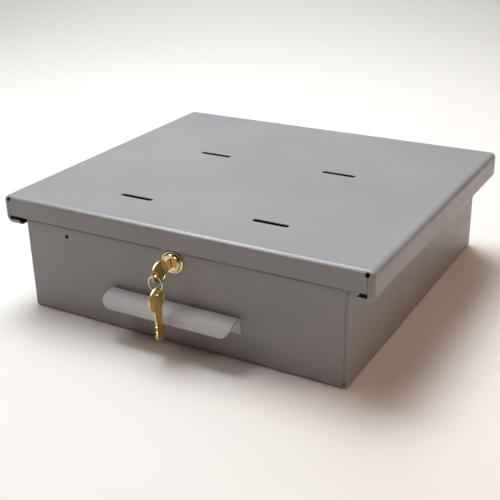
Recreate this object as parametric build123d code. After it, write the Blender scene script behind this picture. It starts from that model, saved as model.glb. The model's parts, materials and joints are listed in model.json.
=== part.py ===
"""Under-counter steel cash drawer.

A folded sheet-steel hanger screws up under a counter through four slots. A folded drawer box
slides in the hanger's two side channels. It has a bent pull lip, a cam lock with two keys on a
ring, and a plastic till with five note bays, five coin cups and five hinged note clips.

Millimetres. The origin is the centre of the four-slot pattern on the hanger's top face,
+X is to the user's right, +Y runs away from the user and +Z is up.
"""
import os
from math import asin, cos, degrees, radians, sin, sqrt

from build123d import *

# ---------------------------------------------------------------- driving dimensions
SHEET = 1.2                 # steel thickness of hanger, box, handle and strike
EDGE_PLAY = 0.3             # least gap kept between bodies that move past each other

COVER_WIDTH = 406.4
COVER_DEPTH = 355.6
COVER_HEIGHT = 30.2         # top face to the underside of the side channels
COVER_SIDE_BEND = 6.0       # outside bend radii
COVER_FRONT_BEND = 4.8
COVER_CHANNEL_BEND = 7.6
CHANNEL_LEG = 18.6          # side face to the free edge of the channel's lower leg
CHANNEL_LIP = 5.3           # underside to the top of the lip that closes each channel end
FRONT_FLANGE = 21.0         # top face to the lower edge of the front flange
FLANGE_END_INSET = 6.2      # side face to the end of the front flange

SLOT_PITCH = 152.4
SLOT_LENGTH = 38.1
SLOT_WIDTH = 6.0
SLOT_SETBACK = 56.3         # front face to the first row of slots
SEAM_GAP = 0.35             # open seam where the front flange meets the side
CORNER_HOLE_RADIUS = 2.1    # bend relief at each top corner
CORNER_HOLE_INSET = 0.6     # from the front flange's end
CORNER_HOLE_Z = -4.0

BOX_WIDTH = 358.0
BOX_DEPTH = 359.0
BOX_RECESS = 3.6            # front panel behind the front flange's face
BOX_BOTTOM = -121.0
BOX_BEND = 2.7
PANEL_TOP = -22.3
PANEL_RETURN = 10.0         # depth of the panel's turned-in top edge
CORNER_TAB = 16.0           # width of the tabs behind the box's corner seams
FOOT_HOLE_RADIUS = 1.3      # bend relief at the foot of each corner seam
FOOT_HOLE_RISE = 5.2
GAUGE_HOLE_X = -126.6
GAUGE_HOLE_Z = -33.0
GAUGE_HOLE_RADIUS = 2.2
DENT_Y = 168.5              # spot-weld dent near the rear of each side
DENT_Z = -89.0
RIVET_RADIUS = 1.6

GLIDE_THICKNESS = 4.3
GLIDE_SETBACK = 14.0        # hanger's front and rear faces to the strip's ends
GUIDE_LENGTH = 85.0
GUIDE_REAR_GAP = 5.6        # hanger's rear edge to the guide's rear face
GUIDE_WIDTH = 12.5

HANDLE_LENGTH = 144.0
HANDLE_TOP = -75.0
HANDLE_FLANGE_END = -91.4
HANDLE_FLAT = 9.0           # level stretch, counted from the panel
HANDLE_CURL = 14.4          # centre-line radius of the curled front
HANDLE_CURL_ANGLE = 80.0
HANDLE_CORNER = 12.0
HANDLE_RIVET_PITCH = 60.0

LOCK_X = 0.6                # the lock and the handle share this centre line
LOCK_Z = -33.8
LOCK_BEZEL_RADIUS = 11.8
LOCK_BEZEL_THICKNESS = 1.8
LOCK_BOSS_RADIUS = 9.6      # raised round boss in front of the bezel
LOCK_BOSS_PROUD = 5.4       # panel's front face to the boss's face
LOCK_BODY_RADIUS = 9.5
LOCK_BODY_FLATS = 16.0
LOCK_LENGTH = 25.0          # panel's front face to the rear end of the lock's body
LOCK_NOTCH = 13.0           # half width of the gap that the panel's return leaves for the lock
PLUG_PROUD = 5.0            # panel's front face to the plug's face
PLUG_HEAD_RADIUS = 7.6
PLUG_RADIUS = 6.75
PLUG_RUNNING_GAP = 0.05
WAFERS = 5
WAFER_FIRST = 5.5           # plug's face to the first wafer's middle
WAFER_PITCH = 3.0
CAM_REACH = 24.0

KEY_THICKNESS = 2.3
KEY_BLADE = 25.6            # length inside the lock
KEY_BLADE_HEIGHT = 8.8
KEY_CUTS = (1.1, 1.8, 0.8, 1.5, 1.2)
BOW_CENTRE = 17.2           # distances outward from the plug's face
BOW_HALF_LENGTH = 12.0
BOW_HALF_WIDTH = 10.8
BOW_OFFSET = 0.8            # bow's middle line beside the blade's, towards the cuts
BOW_HOLE_AT = 24.4
BOW_HOLE_RADIUS = 2.7
RING_RADIUS = 7.6
RING_WIRE = 0.6
RING_SEAT = 0.6             # play between the ring and the bow at the hole
SPARE_TWIST = 5.0           # how far the hanging key is turned about the vertical

TILL_WIDTH = 351.0
TILL_DEPTH = 346.0
TILL_TOP = -50.0
TILL_WALL = 2.5
TILL_DIVIDER = 2.0
TILL_FRONT_GAP = 4.4        # behind the front panel's front face
COIN_DEPTH = 112.0
COIN_CUP_FLOOR = -88.0
BAYS = 5

CLIP_ROD_RADIUS = 2.0
CLIP_ROD_Z = -58.0
CLIP_ARM = 80.0
CLIP_FOOT_RADIUS = 3.0

# ---------------------------------------------------------------- derived places
FRONT = -(SLOT_SETBACK + SLOT_PITCH / 2)        # y of the hanger's front face
REAR = FRONT + COVER_DEPTH
HALF_COVER = COVER_WIDTH / 2
LEG_EDGE = HALF_COVER - CHANNEL_LEG
LEG_TOP = -COVER_HEIGHT + SHEET
LIP_TOP = -COVER_HEIGHT + CHANNEL_LIP
GLIDE_TOP = LEG_TOP + GLIDE_THICKNESS
FLANGE_END = HALF_COVER - FLANGE_END_INSET

PANEL = FRONT + BOX_RECESS                      # y of the front panel's face
PANEL_BACK = PANEL + SHEET
BOX_REAR = PANEL + BOX_DEPTH
HALF_BOX = BOX_WIDTH / 2
RUNNER_BOTTOM = GLIDE_TOP + EDGE_PLAY
RUNNER_TOP = RUNNER_BOTTOM + SHEET
RUNNER_EDGE = FLANGE_END - 0.8
RUNNER_START = PANEL + 12.0
BOX_FLOOR = BOX_BOTTOM + SHEET

GUIDE_REAR = REAR - GUIDE_REAR_GAP
GUIDE_INNER = HALF_BOX + 4.5
GUIDE_TOP = -SHEET - 0.6
RIVET_SEAT = -8.0           # z of the guide rivets' heads
DRAWER_TRAVEL = GUIDE_REAR - GUIDE_LENGTH - (FRONT + 2 * SHEET) - EDGE_PLAY

PLUG_FACE = PANEL - PLUG_PROUD
BOSS_FACE = PANEL - LOCK_BOSS_PROUD
LOCK_REAR = PANEL + LOCK_LENGTH
CAM_FRONT = LOCK_REAR + 0.5
CAM_THICKNESS = 1.6
CAM_SQUARE = 6.4
CAM_SCREW_RADIUS = 1.9
CAM_THREAD = 3.6            # depth of the thread in the plug's end
KEYWAY_HALF_GAP = KEY_THICKNESS / 2 + EDGE_PLAY
KEYWAY_HALF_HEIGHT = KEY_BLADE_HEIGHT / 2 + EDGE_PLAY
WAFER_HALF_WIDTH = 3.0
WAFER_HALF_HEIGHT = 5.9

TILL_FRONT = PANEL + TILL_FRONT_GAP
TILL_REAR = TILL_FRONT + TILL_DEPTH
HALF_TILL = TILL_WIDTH / 2
TILL_FLOOR = BOX_FLOOR + TILL_WALL
BAY_FRONT = TILL_FRONT + COIN_DEPTH + 2 * TILL_WALL
BAY_REAR = TILL_REAR - TILL_WALL
BAY_WIDTH = (TILL_WIDTH - 2 * TILL_WALL - (BAYS - 1) * TILL_DIVIDER) / BAYS
CLIP_ROD_Y = TILL_REAR - 10.0


# ---------------------------------------------------------------- small helpers
def block(x, y, z):
    """A box between two x values, two y values and two z values."""
    size = Box(x[1] - x[0], y[1] - y[0], z[1] - z[0])
    return Pos((x[0] + x[1]) / 2, (y[0] + y[1]) / 2, (z[0] + z[1]) / 2) * size


def rod_y(x, z, y_front, y_rear, radius):
    """A round bar along Y."""
    centre = Pos(x, (y_front + y_rear) / 2, z)
    return centre * Rot(90, 0, 0) * Cylinder(radius, y_rear - y_front)


def rod_x(x_left, x_right, y, z, radius):
    """A round bar along X."""
    centre = Pos((x_left + x_right) / 2, y, z)
    return centre * Rot(0, 90, 0) * Cylinder(radius, x_right - x_left)


def rod_z(x, y, z_low, z_high, radius):
    """A round bar along Z."""
    return Pos(x, y, (z_low + z_high) / 2) * Cylinder(radius, z_high - z_low)


def both_sides(solid):
    """The solid and its mirror image in the drawer's middle plane."""
    return [solid, mirror(solid, Plane.YZ)]


def add(solid, pieces):
    """The solid with every piece fused to it."""
    for piece in pieces:
        solid = solid + piece
    return solid


def cut(solid, pieces):
    """The solid with every piece cut away."""
    for piece in pieces:
        solid = solid - piece
    return solid


def edges_near(solid, axis, z):
    """The edges along an axis whose middle lies at height z."""
    return solid.edges().filter_by(axis).filter_by(lambda edge: abs(edge.center().Z - z) < 0.01)


def bay_centre(index):
    """The x of a till bay's centre."""
    return (index - (BAYS - 1) / 2) * (BAY_WIDTH + TILL_DIVIDER)


# ---------------------------------------------------------------- hanger
def cover_form(inset):
    """The hanger's closed outer form, drawn in from its faces by inset."""
    half = HALF_COVER - inset
    top = -inset
    bottom = -COVER_HEIGHT + inset
    form = block((-half, half), (FRONT + inset, REAR - inset), (bottom, top))
    form = fillet(edges_near(form, Axis.Y, top), COVER_SIDE_BEND - inset)
    form = fillet(edges_near(form, Axis.Y, bottom), COVER_CHANNEL_BEND - inset)
    form = fillet(form.faces().sort_by(Axis.Y)[0].edges(), COVER_FRONT_BEND - inset)
    return fillet(form.faces().sort_by(Axis.Y)[-1].edges(), COVER_FRONT_BEND - inset)


def four_corners(solid):
    """The solid repeated at the hanger's four corners by mirroring."""
    middle = Plane(origin=(0, (FRONT + REAR) / 2, 0), z_dir=(0, 1, 0))
    pair = both_sides(solid)
    return pair + [mirror(piece, middle) for piece in pair]


def mounting_slots():
    """Cutters for the four mounting slots, long along X."""
    outline = SlotOverall(SLOT_LENGTH, SLOT_WIDTH)
    cutter = extrude(outline, amount=3 * SHEET, both=True)
    return [Pos(x * SLOT_PITCH / 2, y * SLOT_PITCH / 2, 0) * cutter for x in (-1, 1) for y in (-1, 1)]


def mounting_cover():
    """Folded hanger: top, front and rear flanges and two side channels with lipped ends."""
    shell = cover_form(0) - cover_form(SHEET)
    between_legs = block((-LEG_EDGE, LEG_EDGE), (FRONT - 1, REAR + 1), (-COVER_HEIGHT - 1, LIP_TOP + 1))
    mouth_z = (LIP_TOP, -FRONT_FLANGE)
    front_mouth = block((-FLANGE_END, FLANGE_END), (FRONT - 1, FRONT + COVER_FRONT_BEND), mouth_z)
    rear_mouth = block((-FLANGE_END, FLANGE_END), (REAR - COVER_FRONT_BEND, REAR + 1), mouth_z)
    shell = cut(shell, [between_legs, front_mouth, rear_mouth])

    corner_tab = block(
        (LEG_EDGE, FLANGE_END + 1.5), (FRONT + SHEET, FRONT + 2 * SHEET), (-FRONT_FLANGE + 0.3, -5.2))
    shell = add(shell, four_corners(corner_tab))

    seam = block(
        (FLANGE_END - SEAM_GAP, FLANGE_END), (FRONT - 1, FRONT + SHEET),
        (-FRONT_FLANGE - 1, -COVER_FRONT_BEND))
    relief_place = Pos(FLANGE_END - CORNER_HOLE_INSET, FRONT + SHEET, CORNER_HOLE_Z)
    relief = relief_place * Rot(45, 0, 0) * Cylinder(CORNER_HOLE_RADIUS, 8)
    return cut(shell, four_corners(seam) + four_corners(relief) + mounting_slots())


def glide_strip(side):
    """Plastic strip lying on a channel's lower leg."""
    inner = LEG_EDGE + 0.6
    outer = HALF_COVER - COVER_CHANNEL_BEND - 0.4
    x = sorted((side * inner, side * outer))
    strip = block(x, (FRONT + GLIDE_SETBACK, REAR - GLIDE_SETBACK), (LEG_TOP, GLIDE_TOP))
    return chamfer(edges_near(strip, Axis.X, GLIDE_TOP), 1.5)


def closing_bumpers():
    """Rubber pads on the hanger's rear corner tabs, met by the drawer's guides."""
    seat = REAR - 2 * SHEET
    thickness = GUIDE_REAR_GAP - 2 * SHEET - 0.4
    pad = rod_y(GUIDE_INNER + GUIDE_WIDTH / 2, -13, seat - thickness, seat, 5)
    pad = fillet(pad.faces().sort_by(Axis.Y)[0].edges(), 1)
    return both_sides(pad)


def lock_strike():
    """Angle under the hanger's top that the lock's cam catches behind."""
    half_width = 14
    x = (LOCK_X - half_width, LOCK_X + half_width)
    blade_rear = CAM_FRONT - 0.8
    blade = block(x, (blade_rear - SHEET, blade_rear), (-18, -SHEET))
    foot = block(x, (blade_rear - SHEET, blade_rear + 13), (-2 * SHEET, -SHEET))
    angle = blade + foot
    inner = angle.edges().filter_by(Axis.X).sort_by_distance((LOCK_X, blade_rear, -2 * SHEET))[0]
    angle = fillet(inner, 1)
    return fillet(edges_near(angle, Axis.Y, -18), 4)


# ---------------------------------------------------------------- drawer box
def box_form(inset, top):
    """The box's closed outer form, drawn in from its faces by inset."""
    half = HALF_BOX - inset
    bottom = BOX_BOTTOM + inset
    form = block((-half, half), (PANEL + inset, BOX_REAR - inset), (bottom, top))
    upright = form.edges().filter_by(Axis.Z)
    underside = form.faces().sort_by(Axis.Z)[0].edges()
    return fillet(upright + underside, BOX_BEND - inset)


def side_runner():
    """Outward flange along the right-hand wall's top, with its bend."""
    root = RUNNER_BOTTOM - 3
    inner = HALF_BOX - SHEET
    outline = Polyline(
        (inner, root), (HALF_BOX, root), (HALF_BOX, RUNNER_BOTTOM), (RUNNER_EDGE, RUNNER_BOTTOM),
        (RUNNER_EDGE, RUNNER_TOP), (inner, RUNNER_TOP), close=True)
    profile = make_face(outline)
    outside = profile.vertices().sort_by_distance((inner, RUNNER_TOP))[0]
    profile = fillet(outside, 2.4)
    inside = profile.vertices().sort_by_distance((HALF_BOX, RUNNER_BOTTOM))[0]
    profile = fillet(inside, 1.2)
    start = Plane(origin=(0, RUNNER_START, 0), x_dir=(1, 0, 0), z_dir=(0, -1, 0))
    return extrude(start * profile, amount=-(BOX_REAR - 4 - RUNNER_START))


def panel_return(x):
    """Inward return along the front panel's top edge, between two x values."""
    root = PANEL_TOP - 4
    rear = PANEL + PANEL_RETURN
    outline = Polyline(
        (PANEL, root), (PANEL_BACK, root), (PANEL_BACK, PANEL_TOP - SHEET), (rear, PANEL_TOP - SHEET),
        (rear, PANEL_TOP), (PANEL, PANEL_TOP), close=True)
    profile = make_face(outline)
    profile = fillet(profile.vertices().sort_by_distance((PANEL, PANEL_TOP))[0], 2.5)
    profile = fillet(profile.vertices().sort_by_distance((PANEL_BACK, PANEL_TOP - SHEET))[0], 1.3)
    start = Plane(origin=(x[0], 0, 0), x_dir=(0, 1, 0), z_dir=(1, 0, 0))
    return extrude(start * profile, amount=x[1] - x[0])


def lock_bar(half_width, half_height, y_front, y_rear):
    """A square-edged bar along the lock's axis."""
    x = (LOCK_X - half_width, LOCK_X + half_width)
    return block(x, (y_front, y_rear), (LOCK_Z - half_height, LOCK_Z + half_height))


def lock_section(radius, flats, y_front, y_rear):
    """A round bar along the lock's axis with two upright flats."""
    return rod_y(LOCK_X, LOCK_Z, y_front, y_rear, radius) & lock_bar(flats / 2, radius, y_front, y_rear)


def handle_rivet_places():
    """x and z of the rivets that hold the handle."""
    z = (HANDLE_FLANGE_END + HANDLE_TOP) / 2 - 2.5
    return [(LOCK_X + step * HANDLE_RIVET_PITCH, z) for step in (-1, 0, 1)]


def guide_rivet_places():
    """x and y of the rivets through the right-hand guide."""
    x = GUIDE_INNER + GUIDE_WIDTH / 2
    return [(x, GUIDE_REAR - 15), (x, GUIDE_REAR - GUIDE_LENGTH + 15)]


def drawer_box():
    """One-piece folded box with outward runners and a returned front edge."""
    shell = box_form(0, PANEL_TOP) - box_form(SHEET, PANEL_TOP + 5)
    seam_x = HALF_BOX - BOX_BEND
    low_wall = block(
        (-HALF_BOX - 1, HALF_BOX + 1), (RUNNER_START, BOX_REAR + 1), (RUNNER_BOTTOM - 3, PANEL_TOP + 1))
    shell = shell - low_wall
    rear_wall = block(
        (-seam_x, seam_x), (BOX_REAR - SHEET, BOX_REAR), (RUNNER_BOTTOM - 3, RUNNER_TOP))
    shell = add(shell, both_sides(side_runner()) + [rear_wall])

    left_return = (-seam_x + 2, LOCK_X - LOCK_NOTCH)
    right_return = (LOCK_X + LOCK_NOTCH, seam_x - 2)
    for x in (left_return, right_return):
        shell = shell - block(x, (PANEL - 1, PANEL_BACK), (PANEL_TOP - 4, PANEL_TOP + 1))
        shell = shell + panel_return(x)

    tab_x = (seam_x - CORNER_TAB, HALF_BOX - SHEET)
    tab = block(tab_x, (PANEL_BACK, PANEL_BACK + SHEET), (BOX_FLOOR + 3, PANEL_TOP - 3))
    rear_tab = block(tab_x, (BOX_REAR - 2 * SHEET, BOX_REAR - SHEET), (BOX_FLOOR + 3, RUNNER_BOTTOM - 4))
    shell = add(shell, both_sides(tab) + both_sides(rear_tab))

    foot = BOX_BOTTOM + FOOT_HOLE_RISE
    groove_x = (seam_x - SEAM_GAP / 2, seam_x + SEAM_GAP / 2)
    seam = block(groove_x, (PANEL - 1, PANEL_BACK), (foot, PANEL_TOP + 1))
    rear_seam = block(groove_x, (BOX_REAR - SHEET, BOX_REAR + 1), (foot, RUNNER_TOP + 1))
    corner_relief = rod_y(seam_x, foot, PANEL - 1, PANEL + 3, FOOT_HOLE_RADIUS)
    rear_relief = rod_y(seam_x, foot, BOX_REAR - 3, BOX_REAR + 1, FOOT_HOLE_RADIUS)
    weld_dent = Pos(HALF_BOX + 2.2, DENT_Y, DENT_Z) * Sphere(2.9)
    reliefs = []
    for cutter in (seam, rear_seam, corner_relief, rear_relief, weld_dent):
        reliefs += both_sides(cutter)
    shell = cut(shell, reliefs)

    lock_hole = lock_section(LOCK_BODY_RADIUS + 0.1, LOCK_BODY_FLATS + 0.2, PANEL - 1, PANEL_BACK + 1)
    gauge_hole = rod_y(GAUGE_HOLE_X, GAUGE_HOLE_Z, PANEL - 1, PANEL_BACK + 1, GAUGE_HOLE_RADIUS)
    rivet_holes = [rod_y(x, z, PANEL - 1, PANEL_BACK + 1, RIVET_RADIUS) for x, z in handle_rivet_places()]
    shell = cut(shell, [lock_hole, gauge_hole] + rivet_holes)
    for x, y in guide_rivet_places():
        shell = cut(shell, both_sides(rod_z(x, y, RUNNER_BOTTOM - 1, RUNNER_TOP + 1, RIVET_RADIUS)))
    return shell


def pull_handle():
    """Bent lip: a flange on the panel, a level hood and a curled front with rounded corners."""
    middle = SHEET / 2
    bend = 2.4
    flange = Line((PANEL - middle, HANDLE_FLANGE_END), (PANEL - middle, HANDLE_TOP - middle - bend))
    turn = JernArc(flange @ 1, flange % 1, bend, 90)
    level = Line(turn @ 1, (PANEL - HANDLE_FLAT, HANDLE_TOP - middle))
    curl = JernArc(level @ 1, level % 1, HANDLE_CURL, HANDLE_CURL_ANGLE)
    profile = trace(flange + turn + level + curl, SHEET)
    lip = extrude(Plane.YZ * profile, amount=HANDLE_LENGTH / 2, both=True)

    tip = (curl @ 1).Y - middle
    corner_z = (tip, tip + HANDLE_CORNER)
    corner_x = (HANDLE_LENGTH / 2 - HANDLE_CORNER, HANDLE_LENGTH / 2 + 1)
    corner_y = (PANEL - 40, PANEL - HANDLE_FLAT)
    corner = block(corner_x, corner_y, (corner_z[0] - 1, corner_z[1]))
    round_bar = rod_y(corner_x[0], corner_z[1], corner_y[0], corner_y[1], HANDLE_CORNER)
    lip = Pos(LOCK_X, 0, 0) * cut(lip, both_sides(corner - round_bar))
    holes = [rod_y(x, z, PANEL - 2, PANEL + 1, RIVET_RADIUS) for x, z in handle_rivet_places()]
    return cut(lip, holes)


def handle_rivets():
    """Three rivets: a low head on the handle's flange and an upset end inside."""
    rivets = []
    for x, z in handle_rivet_places():
        shank = rod_y(x, z, PANEL - SHEET, PANEL_BACK, RIVET_RADIUS)
        head = rod_y(x, z, PANEL - SHEET - 1, PANEL - SHEET, 3.2)
        head = fillet(head.faces().sort_by(Axis.Y)[0].edges(), 0.7)
        upset = rod_y(x, z, PANEL_BACK, PANEL_BACK + 1, 2.4)
        rivets.append(shank + head + upset)
    return rivets


def rear_guide(side):
    """Block on a runner's rear end that keeps the drawer level and stops it coming out."""
    x = (GUIDE_INNER, GUIDE_INNER + GUIDE_WIDTH)
    guide = block(x, (GUIDE_REAR - GUIDE_LENGTH, GUIDE_REAR), (RUNNER_TOP, GUIDE_TOP))
    guide = chamfer(edges_near(guide, Axis.X, GUIDE_TOP), 3)
    for rivet_x, rivet_y in guide_rivet_places():
        guide = guide - rod_z(rivet_x, rivet_y, RUNNER_TOP - 1, RIVET_SEAT, RIVET_RADIUS)
        guide = guide - rod_z(rivet_x, rivet_y, RIVET_SEAT, 0, 2 * RIVET_RADIUS + 0.2)
    return guide if side > 0 else mirror(guide, Plane.YZ)


def guide_rivets():
    """Rivets through the guides, flush under the runners."""
    rivets = []
    for x, y in guide_rivet_places():
        shank = rod_z(x, y, RUNNER_BOTTOM, RIVET_SEAT, RIVET_RADIUS)
        head = rod_z(x, y, RIVET_SEAT, RIVET_SEAT + RIVET_RADIUS, 2 * RIVET_RADIUS - 0.1)
        rivets += both_sides(shank + head)
    return rivets


# ---------------------------------------------------------------- lock
def lock_housing():
    """Die-cast lock body with a round bezel, a raised boss and a stepped bore."""
    bezel = rod_y(LOCK_X, LOCK_Z, PANEL - LOCK_BEZEL_THICKNESS, PANEL, LOCK_BEZEL_RADIUS)
    bezel = fillet(bezel.faces().sort_by(Axis.Y)[0].edges(), 1.2)
    boss = rod_y(LOCK_X, LOCK_Z, BOSS_FACE, PANEL, LOCK_BOSS_RADIUS)
    boss = fillet(boss.faces().sort_by(Axis.Y)[0].edges(), 1.3)
    body = lock_section(LOCK_BODY_RADIUS, LOCK_BODY_FLATS, PANEL, LOCK_REAR)
    bore = rod_y(LOCK_X, LOCK_Z, BOSS_FACE - 1, LOCK_REAR + 1, PLUG_RADIUS + PLUG_RUNNING_GAP)
    step = rod_y(LOCK_X, LOCK_Z, BOSS_FACE - 1, PANEL - 1, PLUG_HEAD_RADIUS + PLUG_RUNNING_GAP)
    return bezel + boss + body - bore - step


def lock_washer():
    """Steel washer between the panel and the lock's nut."""
    disc = rod_y(LOCK_X, LOCK_Z, PANEL_BACK, PANEL_BACK + 0.8, 11.2)
    return disc - lock_section(LOCK_BODY_RADIUS + 0.1, LOCK_BODY_FLATS + 0.2, PANEL_BACK - 1, PANEL_BACK + 2)


def lock_nut():
    """Thin hexagon nut on the lock's body, flats up and down."""
    across_flats = 22.2
    front = PANEL_BACK + 0.8
    hexagon = RegularPolygon(across_flats / sqrt(3), 6)
    place = Plane(origin=(LOCK_X, front, LOCK_Z), x_dir=(1, 0, 0), z_dir=(0, -1, 0))
    nut = extrude(place * hexagon, amount=-3.5)
    return nut - rod_y(LOCK_X, LOCK_Z, front - 1, front + 5, LOCK_BODY_RADIUS)


def wafer_depths():
    """Distance of each wafer's middle behind the plug's face."""
    return [WAFER_FIRST + WAFER_PITCH * index for index in range(WAFERS)]


def lock_plug():
    """Brass plug with a head, keyway, wafer slots and a square end for the cam."""
    head = rod_y(LOCK_X, LOCK_Z, PLUG_FACE, PANEL - 1.05, PLUG_HEAD_RADIUS)
    head = fillet(head.faces().sort_by(Axis.Y)[0].edges(), 0.5)
    core = rod_y(LOCK_X, LOCK_Z, PANEL - 1.1, CAM_FRONT, PLUG_RADIUS)
    square = lock_bar(CAM_SQUARE / 2, CAM_SQUARE / 2, CAM_FRONT - 0.5, CAM_FRONT + CAM_THICKNESS)
    keyway = lock_bar(KEYWAY_HALF_GAP, KEYWAY_HALF_HEIGHT, PLUG_FACE - 1, PLUG_FACE + KEY_BLADE + 0.5)
    thread = rod_y(LOCK_X, LOCK_Z, CAM_FRONT - CAM_THREAD, CAM_FRONT + 5, CAM_SCREW_RADIUS)
    slots = []
    for depth in wafer_depths():
        middle = PLUG_FACE + depth
        slots.append(lock_bar(WAFER_HALF_WIDTH + 0.05, 8, middle - 0.55, middle + 0.55))
    return cut(head + core + square, [keyway, thread] + slots)


def tumbler_wafers():
    """Flat wafers in the plug, each with a window for the key."""
    wafers = []
    for depth in wafer_depths():
        middle = PLUG_FACE + depth
        plate = lock_bar(WAFER_HALF_WIDTH, WAFER_HALF_HEIGHT, middle - 0.5, middle + 0.5)
        window = lock_bar(KEYWAY_HALF_GAP, KEYWAY_HALF_HEIGHT, middle - 1, middle + 1)
        wafers.append(plate - window)
    return wafers


def lock_cam():
    """Flat cam on the plug's square end, pointing left when unlocked."""
    hub = rod_y(LOCK_X, LOCK_Z, CAM_FRONT, CAM_FRONT + CAM_THICKNESS, 8)
    arm = block(
        (LOCK_X - CAM_REACH, LOCK_X), (CAM_FRONT, CAM_FRONT + CAM_THICKNESS), (LOCK_Z - 6.5, LOCK_Z + 6.5))
    tip = arm.edges().filter_by(Axis.Y).sort_by(Axis.X)[:2]
    arm = fillet(tip, 4)
    return hub + arm - lock_bar(CAM_SQUARE / 2, CAM_SQUARE / 2, CAM_FRONT - 1, CAM_FRONT + 3)


def cam_screw():
    """Slotted screw and washer that hold the cam on the plug."""
    rear = CAM_FRONT + CAM_THICKNESS
    shank = rod_y(LOCK_X, LOCK_Z, CAM_FRONT - CAM_THREAD + 0.2, rear, CAM_SCREW_RADIUS)
    washer = rod_y(LOCK_X, LOCK_Z, rear, rear + 0.8, 5.2)
    head = rod_y(LOCK_X, LOCK_Z, rear + 0.8, rear + 3, 3.5)
    head = fillet(head.faces().sort_by(Axis.Y)[-1].edges(), 0.6)
    return shank + washer + head - lock_bar(4, 0.4, rear + 2, rear + 4)


def key_form():
    """A key lying along its own +X from tip to bow, with the plug's face at x = 0 and the cuts up."""
    half = KEY_BLADE_HEIGHT / 2
    blade = make_face(Polyline(
        (-KEY_BLADE, -half + 0.8), (-KEY_BLADE, 0.6), (-KEY_BLADE + 2.8, half - 0.5), (2, half), (2, -half),
        (-KEY_BLADE + 0.8, -half), close=True))
    shoulder = Pos(4.8, 0) * RectangleRounded(8.4, KEY_BLADE_HEIGHT + 1.2, 1.2)
    bow = Pos(BOW_CENTRE, BOW_OFFSET) * Ellipse(BOW_HALF_LENGTH, BOW_HALF_WIDTH)
    hole = Pos(BOW_HOLE_AT, BOW_OFFSET) * Circle(BOW_HOLE_RADIUS)
    outline = blade + shoulder + bow - hole
    for wafer, cut_depth in zip(wafer_depths(), KEY_CUTS):
        x = -wafer
        outline = outline - make_face(Polyline(
            (x - 1.5, half + 0.1), (x + 1.5, half + 0.1), (x, half - cut_depth), close=True))
    key = extrude(outline, amount=KEY_THICKNESS / 2, both=True)
    groove = Pos(-KEY_BLADE / 2, -1.2, KEY_THICKNESS / 2) * Box(KEY_BLADE + 4, 1.3, 0.9)
    return key - groove


def main_key():
    """The key in the lock, its bow upright and its cuts down."""
    place = Plane(origin=(LOCK_X, PLUG_FACE, LOCK_Z), x_dir=(0, -1, 0), z_dir=(1, 0, 0))
    return place.location * key_form()


# The ring hangs on the strip of bow between the hole and the bow's lower edge.
RING_Y = PLUG_FACE - BOW_HOLE_AT
STRIP_LOW = BOW_HALF_WIDTH * sqrt(1 - ((BOW_HOLE_AT - BOW_CENTRE) / BOW_HALF_LENGTH) ** 2)
STRIP_HALF = (STRIP_LOW - BOW_HOLE_RADIUS) / 2
RING_PIVOT_Z = LOCK_Z - BOW_OFFSET - BOW_HOLE_RADIUS - STRIP_HALF
RING_INSIDE = RING_RADIUS - RING_WIRE
RING_Z = RING_PIVOT_Z + STRIP_HALF + RING_SEAT - RING_INSIDE
SPARE_HOLE_Z = RING_Z - RING_INSIDE + EDGE_PLAY - BOW_HOLE_RADIUS


def key_ring():
    """Round wire ring through both keys' bows."""
    return Pos(LOCK_X, RING_Y, RING_Z) * Rot(90, 0, 0) * Torus(RING_RADIUS, RING_WIRE)


def spare_key():
    """The second key, hanging from the ring with its blade down and its cuts to the front."""
    twist = radians(SPARE_TWIST)
    hole = Vector(LOCK_X, RING_Y, SPARE_HOLE_Z)
    cuts_side = Vector(-sin(twist), -cos(twist), 0)
    origin = hole - cuts_side * BOW_OFFSET - Vector(0, 0, BOW_HOLE_AT)
    place = Plane(origin=origin, x_dir=(0, 0, 1), z_dir=(cos(twist), -sin(twist), 0))
    return place.location * key_form()


# ---------------------------------------------------------------- till
def pocket(x, y, z, corner):
    """A box open at its top with rounded upright corners and a rounded floor."""
    form = block(x, y, z)
    upright = form.edges().filter_by(Axis.Z)
    underside = form.faces().sort_by(Axis.Z)[0].edges()
    return fillet(upright + underside, corner)


def till_tray():
    """Moulded till: a well for the coin insert in front of five note bays."""
    form = block((-HALF_TILL, HALF_TILL), (TILL_FRONT, TILL_REAR), (BOX_FLOOR, TILL_TOP))
    form = fillet(form.edges().filter_by(Axis.Z), 5)
    well = block(
        (-HALF_TILL + TILL_WALL, HALF_TILL - TILL_WALL),
        (TILL_FRONT + TILL_WALL, TILL_FRONT + TILL_WALL + COIN_DEPTH), (TILL_FLOOR, TILL_TOP + 1))
    well = fillet(well.edges().filter_by(Axis.Z), 3)
    form = form - well
    for index in range(BAYS):
        centre = bay_centre(index)
        x = (centre - BAY_WIDTH / 2, centre + BAY_WIDTH / 2)
        form = form - pocket(x, (BAY_FRONT, BAY_REAR), (TILL_FLOOR, TILL_TOP + 10), 4)
    half_rod = HALF_TILL - TILL_WALL / 2
    return form - rod_x(-half_rod, half_rod, CLIP_ROD_Y, CLIP_ROD_Z, CLIP_ROD_RADIUS)


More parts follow.
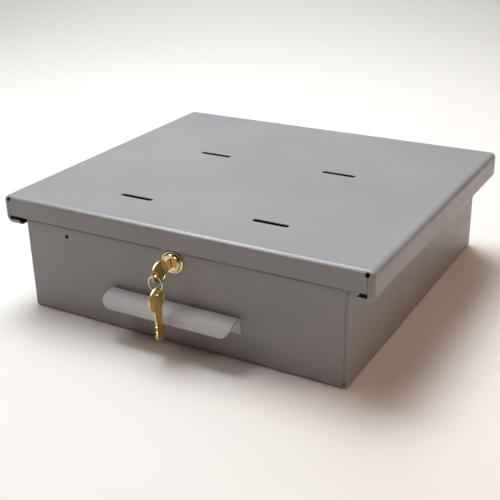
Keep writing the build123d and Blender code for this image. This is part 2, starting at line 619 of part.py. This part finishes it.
def coin_tray():
    """Lift-out insert with five scooped coin cups on a hollow skirt."""
    gap = 0.5
    y = (TILL_FRONT + TILL_WALL + gap, TILL_FRONT + TILL_WALL + COIN_DEPTH - gap)
    half = HALF_TILL - TILL_WALL - gap
    form = block((-half, half), y, (TILL_FLOOR, TILL_TOP - 1))
    form = fillet(form.edges().filter_by(Axis.Z), 3)
    skirt = block(
        (-half + TILL_WALL, half - TILL_WALL), (y[0] + TILL_WALL, y[1] - TILL_WALL),
        (TILL_FLOOR - 1, COIN_CUP_FLOOR - TILL_WALL))
    form = form - skirt
    for index in range(BAYS):
        centre = bay_centre(index)
        x = (centre - BAY_WIDTH / 2 + 1, centre + BAY_WIDTH / 2 - 1)
        cup = block(x, (y[0] + TILL_WALL, y[1] - TILL_WALL), (COIN_CUP_FLOOR, TILL_TOP + 30))
        cup = fillet(edges_near(cup, Axis.X, COIN_CUP_FLOOR), 20)
        form = form - cup
    return form


def clip_rod():
    """Steel rod through the till's dividers that the note clips turn on."""
    half = HALF_TILL - TILL_WALL / 2
    return rod_x(-half, half, CLIP_ROD_Y, CLIP_ROD_Z, CLIP_ROD_RADIUS)


def bill_clip(index):
    """Note clip: a hub on the rod, an arm and a rounded foot that rests on the bay's floor."""
    centre = bay_centre(index)
    half_hub = BAY_WIDTH / 2 - 3
    hub = rod_x(-half_hub, half_hub, 0, 0, 4.4)
    arm = block((-13, 13), (-CLIP_ARM, 0), (-1.4, 1.4))
    paddle = block((-22, 22), (-CLIP_ARM, -CLIP_ARM + 22), (-1.4, 1.4))
    paddle = fillet(paddle.edges().filter_by(Axis.Z).sort_by(Axis.Y)[2:], 8)
    foot = rod_x(-22, 22, -CLIP_ARM, 0, CLIP_FOOT_RADIUS)
    bore = rod_x(-half_hub - 1, half_hub + 1, 0, 0, CLIP_ROD_RADIUS + 0.06)
    clip = hub + arm + paddle + foot - bore
    drop = CLIP_ROD_Z - CLIP_FOOT_RADIUS - EDGE_PLAY - TILL_FLOOR
    return Pos(centre, CLIP_ROD_Y, CLIP_ROD_Z) * Rot(degrees(asin(drop / CLIP_ARM)), 0, 0) * clip


# ---------------------------------------------------------------- output
def all_nodes():
    """Every sub-part by node name."""
    nodes = {
        "mounting_cover": mounting_cover(),
        "glide_strip_left": glide_strip(-1),
        "glide_strip_right": glide_strip(1),
        "closing_bumpers": closing_bumpers(),
        "lock_strike": lock_strike(),
        "drawer_box": drawer_box(),
        "pull_handle": pull_handle(),
        "handle_rivets": handle_rivets(),
        "rear_guide_left": rear_guide(-1),
        "rear_guide_right": rear_guide(1),
        "guide_rivets": guide_rivets(),
        "lock_housing": lock_housing(),
        "lock_washer": lock_washer(),
        "lock_nut": lock_nut(),
        "lock_plug": lock_plug(),
        "tumbler_wafers": tumbler_wafers(),
        "lock_cam": lock_cam(),
        "cam_screw": cam_screw(),
        "main_key": main_key(),
        "key_ring": key_ring(),
        "spare_key": spare_key(),
        "till_tray": till_tray(),
        "coin_tray": coin_tray(),
        "clip_rod": clip_rod(),
    }
    for index in range(BAYS):
        nodes[f"bill_clip_{index + 1}"] = bill_clip(index)
    return nodes


def main():
    os.makedirs("parts", exist_ok=True)
    for name, shape in all_nodes().items():
        solids = shape if isinstance(shape, list) else [shape]
        flat = [solid for piece in solids for solid in piece.solids()]
        model = flat[0] if len(flat) == 1 else Compound(children=flat)
        export_step(model, f"parts/{name}.step")
    print("drawer travel", round(DRAWER_TRAVEL, 2), "ring pivot", RING_Y, round(RING_PIVOT_Z, 3))


main()
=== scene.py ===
"""Looks of the under-counter cash drawer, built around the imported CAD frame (metres)."""
import json
import math

import bmesh
import bpy
from mathutils import Matrix, Vector


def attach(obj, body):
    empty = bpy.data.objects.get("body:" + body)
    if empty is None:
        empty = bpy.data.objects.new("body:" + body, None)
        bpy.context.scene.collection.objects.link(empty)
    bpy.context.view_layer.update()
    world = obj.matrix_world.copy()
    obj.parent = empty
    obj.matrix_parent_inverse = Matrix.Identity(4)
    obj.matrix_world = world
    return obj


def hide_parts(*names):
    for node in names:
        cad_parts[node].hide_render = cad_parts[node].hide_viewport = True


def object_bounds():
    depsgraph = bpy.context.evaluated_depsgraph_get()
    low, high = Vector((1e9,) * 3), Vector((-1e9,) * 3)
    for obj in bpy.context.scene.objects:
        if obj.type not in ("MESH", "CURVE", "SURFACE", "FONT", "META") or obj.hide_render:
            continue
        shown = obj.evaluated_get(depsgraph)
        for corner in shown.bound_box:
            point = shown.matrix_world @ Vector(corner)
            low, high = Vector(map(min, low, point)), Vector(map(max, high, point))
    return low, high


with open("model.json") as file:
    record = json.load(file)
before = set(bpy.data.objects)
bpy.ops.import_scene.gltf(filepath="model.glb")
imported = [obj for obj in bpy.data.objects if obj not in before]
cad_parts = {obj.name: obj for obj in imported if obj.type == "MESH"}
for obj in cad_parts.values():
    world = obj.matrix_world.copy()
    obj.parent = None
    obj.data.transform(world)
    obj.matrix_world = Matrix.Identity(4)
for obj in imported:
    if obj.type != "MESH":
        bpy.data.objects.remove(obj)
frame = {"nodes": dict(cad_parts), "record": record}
cad_low, cad_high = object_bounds()
NODES = frame["nodes"]
MM = 0.001

# ---------------------------------------------------------------- view, in metres
CAMERA_PLACE = (0.44887, -0.76056, 0.31964)
CAMERA_YAW = math.radians(30.018)
CAMERA_PITCH = math.radians(23.975)
CAMERA_ROLL = math.radians(-1.235)
CAMERA_LENS = 65.45
SENSOR_WIDTH = 36.0

# ---------------------------------------------------------------- keys and ring, in mm
LOCK_X, LOCK_Z = 0.6, -33.8
PLUG_FACE = -133.9          # along Y
KEY_THICKNESS = 2.3
KEY_BLADE = 25.6            # length inside the lock
KEY_BLADE_HEIGHT = 8.8
KEY_CUTS = (1.1, 1.8, 0.8, 1.5, 1.2)
KEY_FIRST_CUT = 5.5         # plug's face to the first cut's middle
KEY_CUT_PITCH = 3.0
KEY_CUT_HALF = 1.5          # half width of a cut at the blade's edge
KEY_CUT_FLAT = 0.2          # and at its floor
KEY_LOW_GROOVE = (2.2, 3.5)
KEY_HIGH_GROOVE = (5.3, 6.0)    # both grooves' heights above the blade's back
KEY_GROOVE_DEPTH = 0.45
KEY_STRIP_START = 2.0       # where the blade's strips end inside the shoulder
SHOULDER = (0.6, 9.0)       # along the key
SHOULDER_STEP = 0.6         # how far the shoulder stands past the blade's edges
SHOULDER_THICKNESS = KEY_THICKNESS - 0.06
BOW_CENTRE = 17.2           # outward from the plug's face, as BOW_HOLE_AT is
BOW_HALF_LENGTH = 12.0
BOW_HALF_WIDTH = 10.8
BOW_OFFSET = 0.8            # bow's middle line beside the blade's, towards the cuts
BOW_RIM = 1.7
BOW_WEB_INSET = 0.8         # web's outline inside the rim's
BOW_WEB_THICKNESS = KEY_THICKNESS - 0.8
BOW_HOLE_AT = 24.4
BOW_HOLE_RADIUS = 2.7
HOLE_RIM = 1.1
HOLE_RIM_THICKNESS = KEY_THICKNESS - 0.1
BLADE_EDGE = 0.22           # rounding of the plates' edges
RIM_EDGE = 0.45
SOFT_EDGE = 0.3
THIN_EDGE = 0.05            # on plates whose edges lie inside others
WELD = 0.001                # points closer than this become one
SPARE_TWIST = 5.0           # degrees that the hanging key is turned about the vertical
RING_RADIUS = 7.6
RING_HALF_WIDE = 0.42       # half the wire's width, across the ring's axis
RING_HALF_THICK = 0.28
RING_WIRE_EDGE = 0.12
RING_COIL_STEP = 0.3        # each coil's middle beside the ring's middle plane
RING_STEP_TURN = 0.7        # radians over which the wire steps to the next coil
RING_Y = PLUG_FACE - BOW_HOLE_AT
RING_Z = -43.7
SPARE_HOLE_Z = -53.1


# ---------------------------------------------------------------- materials
class Shader:
    """A small helper around one Principled material."""

    def __init__(self, name, color, metallic=0.0, roughness=0.5):
        self.material = bpy.data.materials.new(name)
        self.material.use_nodes = True
        self.tree = self.material.node_tree
        self.bsdf = self.tree.nodes["Principled BSDF"]
        self.set("Base Color", (*color, 1.0))
        self.set("Metallic", metallic)
        self.set("Roughness", roughness)
        coords = self.tree.nodes.new("ShaderNodeTexCoord")
        self.place = coords.outputs["Object"]
        self.normal = None

    def set(self, socket, value):
        self.bsdf.inputs[socket].default_value = value

    def node(self, kind, **settings):
        made = self.tree.nodes.new(kind)
        for key, value in settings.items():
            setattr(made, key, value)
        return made

    def link(self, source, target):
        self.tree.links.new(source, target)

    def stretched(self, scale):
        """Object coordinates scaled by a different factor along each axis."""
        mapping = self.node("ShaderNodeMapping")
        mapping.inputs["Scale"].default_value = scale
        self.link(self.place, mapping.inputs["Vector"])
        return mapping.outputs["Vector"]

    def noise(self, scale, detail=3.0, rough=0.55, vector=None):
        made = self.node("ShaderNodeTexNoise")
        made.inputs["Scale"].default_value = scale
        made.inputs["Detail"].default_value = detail
        made.inputs["Roughness"].default_value = rough
        self.link(vector or self.place, made.inputs["Vector"])
        return made.outputs["Fac"]

    def ramp(self, value, low, high, out_low=0.0, out_high=1.0):
        made = self.node("ShaderNodeMapRange")
        made.inputs["From Min"].default_value = low
        made.inputs["From Max"].default_value = high
        made.inputs["To Min"].default_value = out_low
        made.inputs["To Max"].default_value = out_high
        self.link(value, made.inputs["Value"])
        return made.outputs["Result"]

    def multiply(self, first, second):
        made = self.node("ShaderNodeMath", operation="MULTIPLY")
        for index, value in enumerate((first, second)):
            if isinstance(value, float):
                made.inputs[index].default_value = value
            else:
                self.link(value, made.inputs[index])
        return made.outputs[0]

    def mix(self, factor, first, second):
        made = self.node("ShaderNodeMix", data_type="RGBA")
        self.link(factor, made.inputs["Factor"])
        for socket, value in ((made.inputs[6], first), (made.inputs[7], second)):
            if isinstance(value, tuple):
                socket.default_value = (*value, 1.0)
            else:
                self.link(value, socket)
        return made.outputs[2]

    def bump(self, height, strength, distance):
        made = self.node("ShaderNodeBump")
        made.inputs["Strength"].default_value = strength
        made.inputs["Distance"].default_value = distance
        self.link(height, made.inputs["Height"])
        if self.normal is not None:
            self.link(self.normal, made.inputs["Normal"])
        self.normal = made.outputs["Normal"]
        self.link(self.normal, self.bsdf.inputs["Normal"])

    def round_edges(self, radius):
        """Shades sharp edges as if they were rounded."""
        bevel = self.node("ShaderNodeBevel", samples=6)
        bevel.inputs["Radius"].default_value = radius
        self.normal = bevel.outputs["Normal"]
        self.link(self.normal, self.bsdf.inputs["Normal"])
        return self.normal

    def edge_mask(self, rounded, sharpness):
        """Nearly 0 on flats and rising to 1 along sharp edges."""
        geometry = self.node("ShaderNodeNewGeometry")
        dot = self.node("ShaderNodeVectorMath", operation="DOT_PRODUCT")
        self.link(rounded, dot.inputs[0])
        self.link(geometry.outputs["Normal"], dot.inputs[1])
        return self.ramp(dot.outputs["Value"], 1.0, 1.0 - sharpness)

    def color(self, source):
        self.link(source, self.bsdf.inputs["Base Color"])

    def roughness(self, source):
        self.link(source, self.bsdf.inputs["Roughness"])


def painted_steel(
        name, level=1.0, grain_scale=850.0, grain_depth=0.5, speckle=0.5, coat=0.15, rough=0.36):
    """Grey powder coat: fine grain, faint shade drift, chipped edges, and every edge lightened a little as
    a painted highlight.
    """

    def grey(red, green, blue):
        return tuple(min(1.0, level * part) for part in (red, green, blue))

    paint = Shader(name, grey(0.30, 0.298, 0.302), 0.0, 0.4)
    rounded = paint.round_edges(0.0005)
    drift = paint.ramp(paint.noise(7.0, 2.0), 0.3, 0.7)
    shade = paint.mix(drift, grey(0.285, 0.283, 0.288), grey(0.318, 0.315, 0.318))
    grain = paint.noise(grain_scale, 2.0)
    speck = paint.ramp(grain, 0.58, 0.72, 0.0, speckle)
    shade = paint.mix(speck, shade, grey(0.40, 0.40, 0.405))
    edge = paint.edge_mask(rounded, 0.25)
    chip = paint.multiply(edge, paint.ramp(paint.noise(260.0, 4.0), 0.52, 0.62))
    # Painted highlight: every edge is lightened a little. The chips on the next line are worn paint.
    shade = paint.mix(paint.multiply(edge, 0.25), shade, grey(0.42, 0.42, 0.42))
    shade = paint.mix(paint.multiply(chip, 0.6), shade, grey(0.50, 0.49, 0.47))
    paint.color(shade)
    paint.roughness(paint.ramp(paint.noise(60.0, 4.0), 0.3, 0.7, rough, rough + 0.1))
    paint.set("Specular IOR Level", 0.25)
    paint.set("Coat Weight", coat)
    paint.set("Coat Roughness", 0.22)
    paint.bump(grain, grain_depth, 0.00012)
    paint.bump(paint.noise(420.0, 2.0), 0.12, 0.0002)
    return paint.material


def brass(name, color, rough_low, rough_high):
    """Brushed brass with fine scratches, tarnish in patches, and painted shade darkening its hollows."""
    metal = Shader(name, color, 1.0, rough_low)
    metal.round_edges(0.0002)
    scratches = metal.noise(1.0, 5.0, 0.7, metal.stretched((5200.0, 700.0, 700.0)))
    tarnish = metal.ramp(metal.noise(160.0, 4.0), 0.42, 0.68, 0.0, 0.55)
    dark = tuple(0.62 * part for part in color)
    shade = metal.mix(tarnish, color, dark)
    # Painted shade: an occlusion mask darkens the hollows, the keyway and the gaps between parts.
    hollow_shade = metal.node("ShaderNodeAmbientOcclusion", samples=8)
    hollow_shade.inputs["Distance"].default_value = 0.0025
    unshaded_part = metal.ramp(hollow_shade.outputs["AO"], 0.25, 0.8)
    metal.color(metal.mix(unshaded_part, tuple(0.12 * part for part in color), shade))
    metal.roughness(metal.ramp(scratches, 0.3, 0.7, rough_low, rough_high))
    metal.bump(scratches, 0.15, 0.00005)
    return metal.material


def steel(name, color, rough_low, rough_high):
    """Plated steel with a fine drawn grain."""
    metal = Shader(name, color, 1.0, rough_low)
    drawn = metal.noise(1.0, 4.0, 0.65, metal.stretched((600.0, 4200.0, 4200.0)))
    cloud = metal.ramp(metal.noise(90.0, 3.0), 0.35, 0.7, 0.0, 0.4)
    metal.color(metal.mix(cloud, color, tuple(0.8 * part for part in color)))
    metal.roughness(metal.ramp(drawn, 0.3, 0.7, rough_low, rough_high))
    metal.bump(drawn, 0.1, 0.00004)
    return metal.material


def plastic(name, color, rough, grain_scale, grain_depth, drift=0.12):
    """Moulded plastic with a fine spark-eroded grain."""
    moulded = Shader(name, color, 0.0, rough)
    cloud = moulded.ramp(moulded.noise(35.0, 3.0), 0.3, 0.7)
    light = tuple(min(1.0, part * (1 + drift)) for part in color)
    dark = tuple(part * (1 - drift) for part in color)
    moulded.color(moulded.mix(cloud, dark, light))
    grain = moulded.noise(grain_scale, 3.0)
    moulded.roughness(moulded.ramp(grain, 0.3, 0.7, rough - 0.06, rough + 0.08))
    moulded.bump(grain, 0.35, grain_depth)
    return moulded.material


GREY = painted_steel("grey_powder_coat")
# Painted light: the pull gets a lighter copy of the box's grey for how brightly it is lit. Its coarser
# speckle and matte finish are its own.
HANDLE_GREY_PAINTED_LIGHTER = painted_steel(
    "handle_powder_coat", level=1.72, grain_scale=760.0, grain_depth=1.0, speckle=1.0, coat=0.0, rough=0.62)
LOCK_BRASS = brass("lock_brass", (0.82, 0.68, 0.44), 0.09, 0.20)
# Painted shade: the key in the lock gets a darker copy of the brass, standing in for the dark panel its
# face reflects. The hanging spare has the lighter copy.
KEY_BRASS_WITH_PAINTED_SHADE = brass("key_brass", (0.64, 0.46, 0.18), 0.22, 0.42)
SPARE_BRASS = brass("spare_key_brass", (0.80, 0.56, 0.20), 0.24, 0.44)
RING_STEEL = steel("ring_nickel", (0.78, 0.77, 0.74), 0.10, 0.22)
ZINC = steel("zinc_plate", (0.62, 0.63, 0.65), 0.28, 0.45)
RUBBER = plastic("black_rubber", (0.025, 0.025, 0.026), 0.72, 900.0, 0.0001)
TILL_PLASTIC = plastic("black_moulded_plastic", (0.030, 0.031, 0.034), 0.46, 1300.0, 0.00008)
CLIP_PLASTIC = plastic("clip_plastic", (0.045, 0.046, 0.05), 0.36, 1000.0, 0.00006)

SLOT_LOOKS = {
    "grey_paint": GREY,
    "lock_brass": LOCK_BRASS,
    "key_brass": KEY_BRASS_WITH_PAINTED_SHADE,
    "ring_steel": RING_STEEL,
    "plated_steel": ZINC,
    "black_rubber": RUBBER,
    "black_plastic": TILL_PLASTIC,
    "clip_plastic": CLIP_PLASTIC,
}


def smooth(mesh, angle=32):
    """Smooth shading that keeps edges sharper than the angle."""
    mesh.shade_smooth()
    mesh.set_sharp_from_angle(angle=math.radians(angle))


def dress_cad_nodes():
    """Gives every CAD node the look of its record slot, with smooth bends. The pull then gets a lighter
    copy of the grey as painted light.
    """
    for part in frame["record"]["subparts"]:
        node = NODES[part["node"]]
        node.data.materials.clear()
        node.data.materials.append(SLOT_LOOKS[part["material_slot"]])
        smooth(node.data)
    # The pull's lighter grey is painted light.
    NODES["pull_handle"].data.materials[0] = HANDLE_GREY_PAINTED_LIGHTER


# ---------------------------------------------------------------- keys and ring
def joined_mesh(name, parts):
    """One mesh from several, each given with its own matrix."""
    build = bmesh.new()
    for mesh, matrix in parts:
        first = len(build.verts)
        build.from_mesh(mesh)
        build.verts.ensure_lookup_table()
        bmesh.ops.transform(build, matrix=matrix, verts=build.verts[first:])
    whole = bpy.data.meshes.new(name)
    build.to_mesh(whole)
    build.free()
    smooth(whole)
    return whole


def flat_solid(outlines, thickness, edge):
    """A flat plate cut from closed outlines in mm, with rounded edges."""
    curve = bpy.data.curves.new("plate", "CURVE")
    curve.dimensions = "2D"
    curve.fill_mode = "BOTH"
    for outline in outlines:
        spline = curve.splines.new("POLY")
        spline.points.add(len(outline) - 1)
        for point, (x, y) in zip(spline.points, outline):
            point.co = (x * MM, y * MM, 0, 1)
        spline.use_cyclic_u = True
    curve.extrude = (thickness / 2 - edge) * MM
    curve.bevel_depth = edge * MM
    curve.bevel_resolution = 2
    curve.offset = -edge * MM
    holder = bpy.data.objects.new("plate", curve)
    bpy.context.scene.collection.objects.link(holder)
    bpy.context.view_layer.update()
    graph = bpy.context.evaluated_depsgraph_get()
    mesh = bpy.data.meshes.new_from_object(holder.evaluated_get(graph))
    bpy.data.objects.remove(holder)
    build = bmesh.new()
    build.from_mesh(mesh)
    bmesh.ops.remove_doubles(build, verts=build.verts, dist=WELD * MM)
    bmesh.ops.recalc_face_normals(build, faces=build.faces)
    build.to_mesh(mesh)
    build.free()
    return mesh


def ellipse(centre, half_x, half_y, steps=72):
    """Points around an ellipse."""
    turns = [2 * math.pi * index / steps for index in range(steps)]
    x, y = centre
    return [(x + half_x * math.cos(turn), y + half_y * math.sin(turn)) for turn in turns]


def blade_outlines():
    """The blade's outlines: strips below, between and above its two grooves, and the grooves' floor."""
    back, cut_edge = -KEY_BLADE_HEIGHT / 2, KEY_BLADE_HEIGHT / 2
    low = [back + height for height in KEY_LOW_GROOVE]
    high = [back + height for height in KEY_HIGH_GROOVE]
    start, tip = KEY_STRIP_START, -KEY_BLADE
    # The tip steps back towards the back and the cut edge, which gives the blade its nose.
    bottom = [(tip + 0.8, back), (start, back), (start, low[0]), (tip, low[0]), (tip, back + 0.8)]
    middle = [(tip, low[1]), (start, low[1]), (start, high[0]), (tip + 0.5, high[0])]
    top = [(tip + 1.2, high[1]), (start, high[1]), (start, cut_edge)]
    for index, depth in enumerate(KEY_CUTS):
        place = -(KEY_FIRST_CUT + KEY_CUT_PITCH * index)
        floor = cut_edge - depth
        top += [(place + KEY_CUT_HALF, cut_edge), (place + KEY_CUT_FLAT, floor)]
        top += [(place - KEY_CUT_FLAT, floor), (place - KEY_CUT_HALF, cut_edge)]
    top += [(tip + 2.8, cut_edge - 0.5)]
    floor_low, floor_high = back + 0.6, cut_edge - 2.3
    groove_floor = [
        (tip + 1.0, floor_low), (start, floor_low), (start, floor_high), (tip + 1.6, floor_high)]
    return [bottom, middle, top], groove_floor


def bow_plates():
    """The bow: a raised rim, a thinner web, and a rim around the ring's hole."""

    def oval(inset):
        return ellipse((BOW_CENTRE, BOW_OFFSET), BOW_HALF_LENGTH - inset, BOW_HALF_WIDTH - inset)

    def circle(radius):
        return ellipse((BOW_HOLE_AT, BOW_OFFSET), radius, radius, 48)

    hole = circle(BOW_HOLE_RADIUS)
    return [
        flat_solid([oval(0), oval(BOW_RIM)], KEY_THICKNESS, RIM_EDGE),
        flat_solid([oval(BOW_WEB_INSET), hole], BOW_WEB_THICKNESS, THIN_EDGE),
        flat_solid([circle(BOW_HOLE_RADIUS + HOLE_RIM), hole], HOLE_RIM_THICKNESS, SOFT_EDGE),
    ]


def key_mesh(name):
    """A key along its own +X: cut blade with two grooves, shoulder, and a bow with a raised rim."""
    strips, groove_floor = blade_outlines()
    plates = [flat_solid([strip], KEY_THICKNESS, BLADE_EDGE) for strip in strips]
    plates.append(flat_solid([groove_floor], KEY_THICKNESS - 2 * KEY_GROOVE_DEPTH, THIN_EDGE))
    side = KEY_BLADE_HEIGHT / 2 + SHOULDER_STEP
    near, far = SHOULDER
    shoulder = [(near, -side), (far, -side), (far, side), (near, side)]
    plates.append(flat_solid([shoulder], SHOULDER_THICKNESS, SOFT_EDGE))
    plates += bow_plates()
    return joined_mesh(name, [(plate, Matrix.Identity(4)) for plate in plates])


def frame_matrix(origin, x_dir, z_dir):
    """The matrix of a local frame given in mm."""
    along, out = Vector(x_dir).normalized(), Vector(z_dir).normalized()
    turn = Matrix((along, out.cross(along), out)).transposed().to_4x4()
    return Matrix.Translation(Vector(origin) * MM) @ turn


def add_piece(name, mesh, look, body, replaced):
    """Puts a piece on a body in place of one of its CAD nodes."""
    piece = bpy.data.objects.new(name, mesh)
    mesh.materials.append(look)
    bpy.context.scene.collection.objects.link(piece)
    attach(piece, body)
    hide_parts(replaced)


def build_keys():
    """The key in the lock and the spare hanging on the ring."""
    place = frame_matrix((LOCK_X, PLUG_FACE, LOCK_Z), (0, -1, 0), (1, 0, 0))
    upright = joined_mesh("main_key_detail", [(key_mesh("key"), place)])
    add_piece("main_key_detail", upright, KEY_BRASS_WITH_PAINTED_SHADE, "key", "main_key")

    twist = math.radians(SPARE_TWIST)
    cuts_side = Vector((-math.sin(twist), -math.cos(twist), 0))
    hole = Vector((LOCK_X, RING_Y, SPARE_HOLE_Z))
    origin = hole - cuts_side * BOW_OFFSET - Vector((0, 0, BOW_HOLE_AT))
    place = frame_matrix(origin, (0, 0, 1), (math.cos(twist), -math.sin(twist), 0))
    hanging = joined_mesh("spare_key_detail", [(key_mesh("key"), place)])
    add_piece("spare_key_detail", hanging, SPARE_BRASS, "spare", "spare_key")


def wire_section():
    """The flat wire's outline with cut corners, as (across the axis, along the axis)."""
    corners = []
    for x_side, y_side in ((1, 1), (-1, 1), (-1, -1), (1, -1)):
        x, y = x_side * RING_HALF_WIDE, y_side * RING_HALF_THICK
        near = [(x, y - y_side * RING_WIRE_EDGE), (x - x_side * RING_WIRE_EDGE, y)]
        corners += near if x_side == y_side else near[::-1]
    return corners


def build_ring():
    """Split ring: a flat wire coiled twice, stepping from one coil to the next."""
    steps = 240
    build = bmesh.new()
    rows = []
    for step in range(steps + 1):
        turn = 4 * math.pi * step / steps
        blend = min(1.0, max(0.0, (turn - 2 * math.pi) / RING_STEP_TURN + 0.5))
        shift = RING_COIL_STEP * (2 * blend * blend * (3 - 2 * blend) - 1)
        row = []
        for wide, thick in wire_section():
            reach = RING_RADIUS + wide
            x = LOCK_X + reach * math.cos(turn)
            z = RING_Z + reach * math.sin(turn)
            row.append(build.verts.new(Vector((x, RING_Y + thick + shift, z)) * MM))
        rows.append(row)
    for first, second in zip(rows, rows[1:]):
        for index in range(len(first)):
            after = (index + 1) % len(first)
            build.faces.new((first[index], first[after], second[after], second[index]))
    build.faces.new(rows[0])
    build.faces.new(rows[-1][::-1])
    bmesh.ops.recalc_face_normals(build, faces=build.faces)
    mesh = bpy.data.meshes.new("split_ring")
    build.to_mesh(mesh)
    build.free()
    smooth(mesh)
    add_piece("split_ring", mesh, RING_STEEL, "ring", "key_ring")


dress_cad_nodes()
build_keys()
build_ring()


# ---------------------------------------------------------------- stage
def build_floor():
    """A plain pale floor just under the box."""
    gap = 0.0002
    bpy.ops.mesh.primitive_plane_add(size=8.0, location=(0, 0, cad_low[2] - gap))
    floor = bpy.context.object
    floor.name = "floor"
    look = Shader("pale_floor", (0.79, 0.75, 0.71), 0.0, 0.8)
    look.color(look.mix(look.noise(2.0, 2.0), (0.78, 0.74, 0.70), (0.80, 0.76, 0.72)))
    floor.data.materials.append(look.material)


def area_light(name, place, target, size, power, color):
    """A rectangular lamp aimed at a target."""
    light = bpy.data.lights.new(name, "AREA")
    light.shape = "RECTANGLE"
    light.size, light.size_y = size
    light.energy = power
    light.color = color
    lamp = bpy.data.objects.new(name, light)
    lamp.location = place
    lamp.rotation_euler = (Vector(target) - Vector(place)).to_track_quat("-Z", "Y").to_euler()
    bpy.context.scene.collection.objects.link(lamp)
    return lamp


def build_lights():
    """Soft studio lights. Two show only in gloss: a streak on the front bend and a glint on the lock."""
    lock = (0.0, -0.13, -0.05)
    white = (1.0, 1.0, 1.0)
    cool = (0.97, 0.98, 1.0)
    area_light("overhead", (-0.42, 0.3, 1.4), (0, 0.06, -0.05), (1.1, 0.75), 31.0, (0.88, 0.95, 1.0))
    area_light("front_left_key", (-0.75, -0.75, 1.25), lock, (0.35, 0.35), 2.6, (1.0, 0.80, 0.72))
    bend_gloss = area_light("bend_gloss", (-0.75, -0.45, 1.3), (-0.75, -0.45, 0), (0.55, 1.9), 38.0, cool)
    area_light("side_fill", (1.15, 0.25, 0.75), (0.1, 0.05, -0.06), (0.5, 0.3), 4.1, (1.0, 0.62, 0.40))
    area_light("front_fill", (0.2, -1.5, 0.4), (0, 0, -0.06), (1.2, 0.3), 0.9, (1.0, 0.40, 0.22))
    area_light("sparkle", (0.78, -0.70, 1.12), lock, (0.16, 0.16), 0.8, white)
    lock_glint = area_light("lock_glint", (0.48, -0.22, 0.85), lock, (0.2, 0.2), 10.0, white)
    for gloss in (bend_gloss, lock_glint):
        gloss.visible_diffuse = False

    # The floor behind the box has its own light, which stays out of the top face's gloss.
    behind = (-1.1, 1.8, -0.12)
    backdrop = area_light("backdrop", (-1.2, 2.0, 1.7), behind, (1.6, 1.6), 34.0, (0.95, 0.98, 1.0))
    backdrop.visible_glossy = False


def build_world():
    """A dim warm surround."""
    world = bpy.data.worlds.new("studio")
    world.use_nodes = True
    sky = world.node_tree.nodes["Background"]
    sky.inputs["Color"].default_value = (1.0, 0.76, 0.62, 1.0)
    sky.inputs["Strength"].default_value = 0.035
    bpy.context.scene.world = world


def build_camera():
    """A camera where the photographer stood."""
    data = bpy.data.cameras.new("photo_view")
    data.lens = CAMERA_LENS
    data.sensor_width = SENSOR_WIDTH
    data.clip_start = 0.01
    camera = bpy.data.objects.new("photo_view", data)
    yaw, pitch, roll = CAMERA_YAW, CAMERA_PITCH, CAMERA_ROLL
    right = Vector((math.cos(yaw), math.sin(yaw), 0))
    ahead = Vector((-math.sin(yaw) * math.cos(pitch), math.cos(yaw) * math.cos(pitch), -math.sin(pitch)))
    up = right.cross(ahead)
    across = right * math.cos(roll) + up * math.sin(roll)
    upright = up * math.cos(roll) - right * math.sin(roll)
    turn = Matrix((across, upright, -ahead)).transposed().to_4x4()
    camera.matrix_world = Matrix.Translation(CAMERA_PLACE) @ turn
    bpy.context.scene.collection.objects.link(camera)
    bpy.context.scene.camera = camera


build_floor()
build_lights()
build_world()
build_camera()
bpy.context.scene.view_settings.view_transform = "Standard"
bpy.context.scene.view_settings.look = "None"
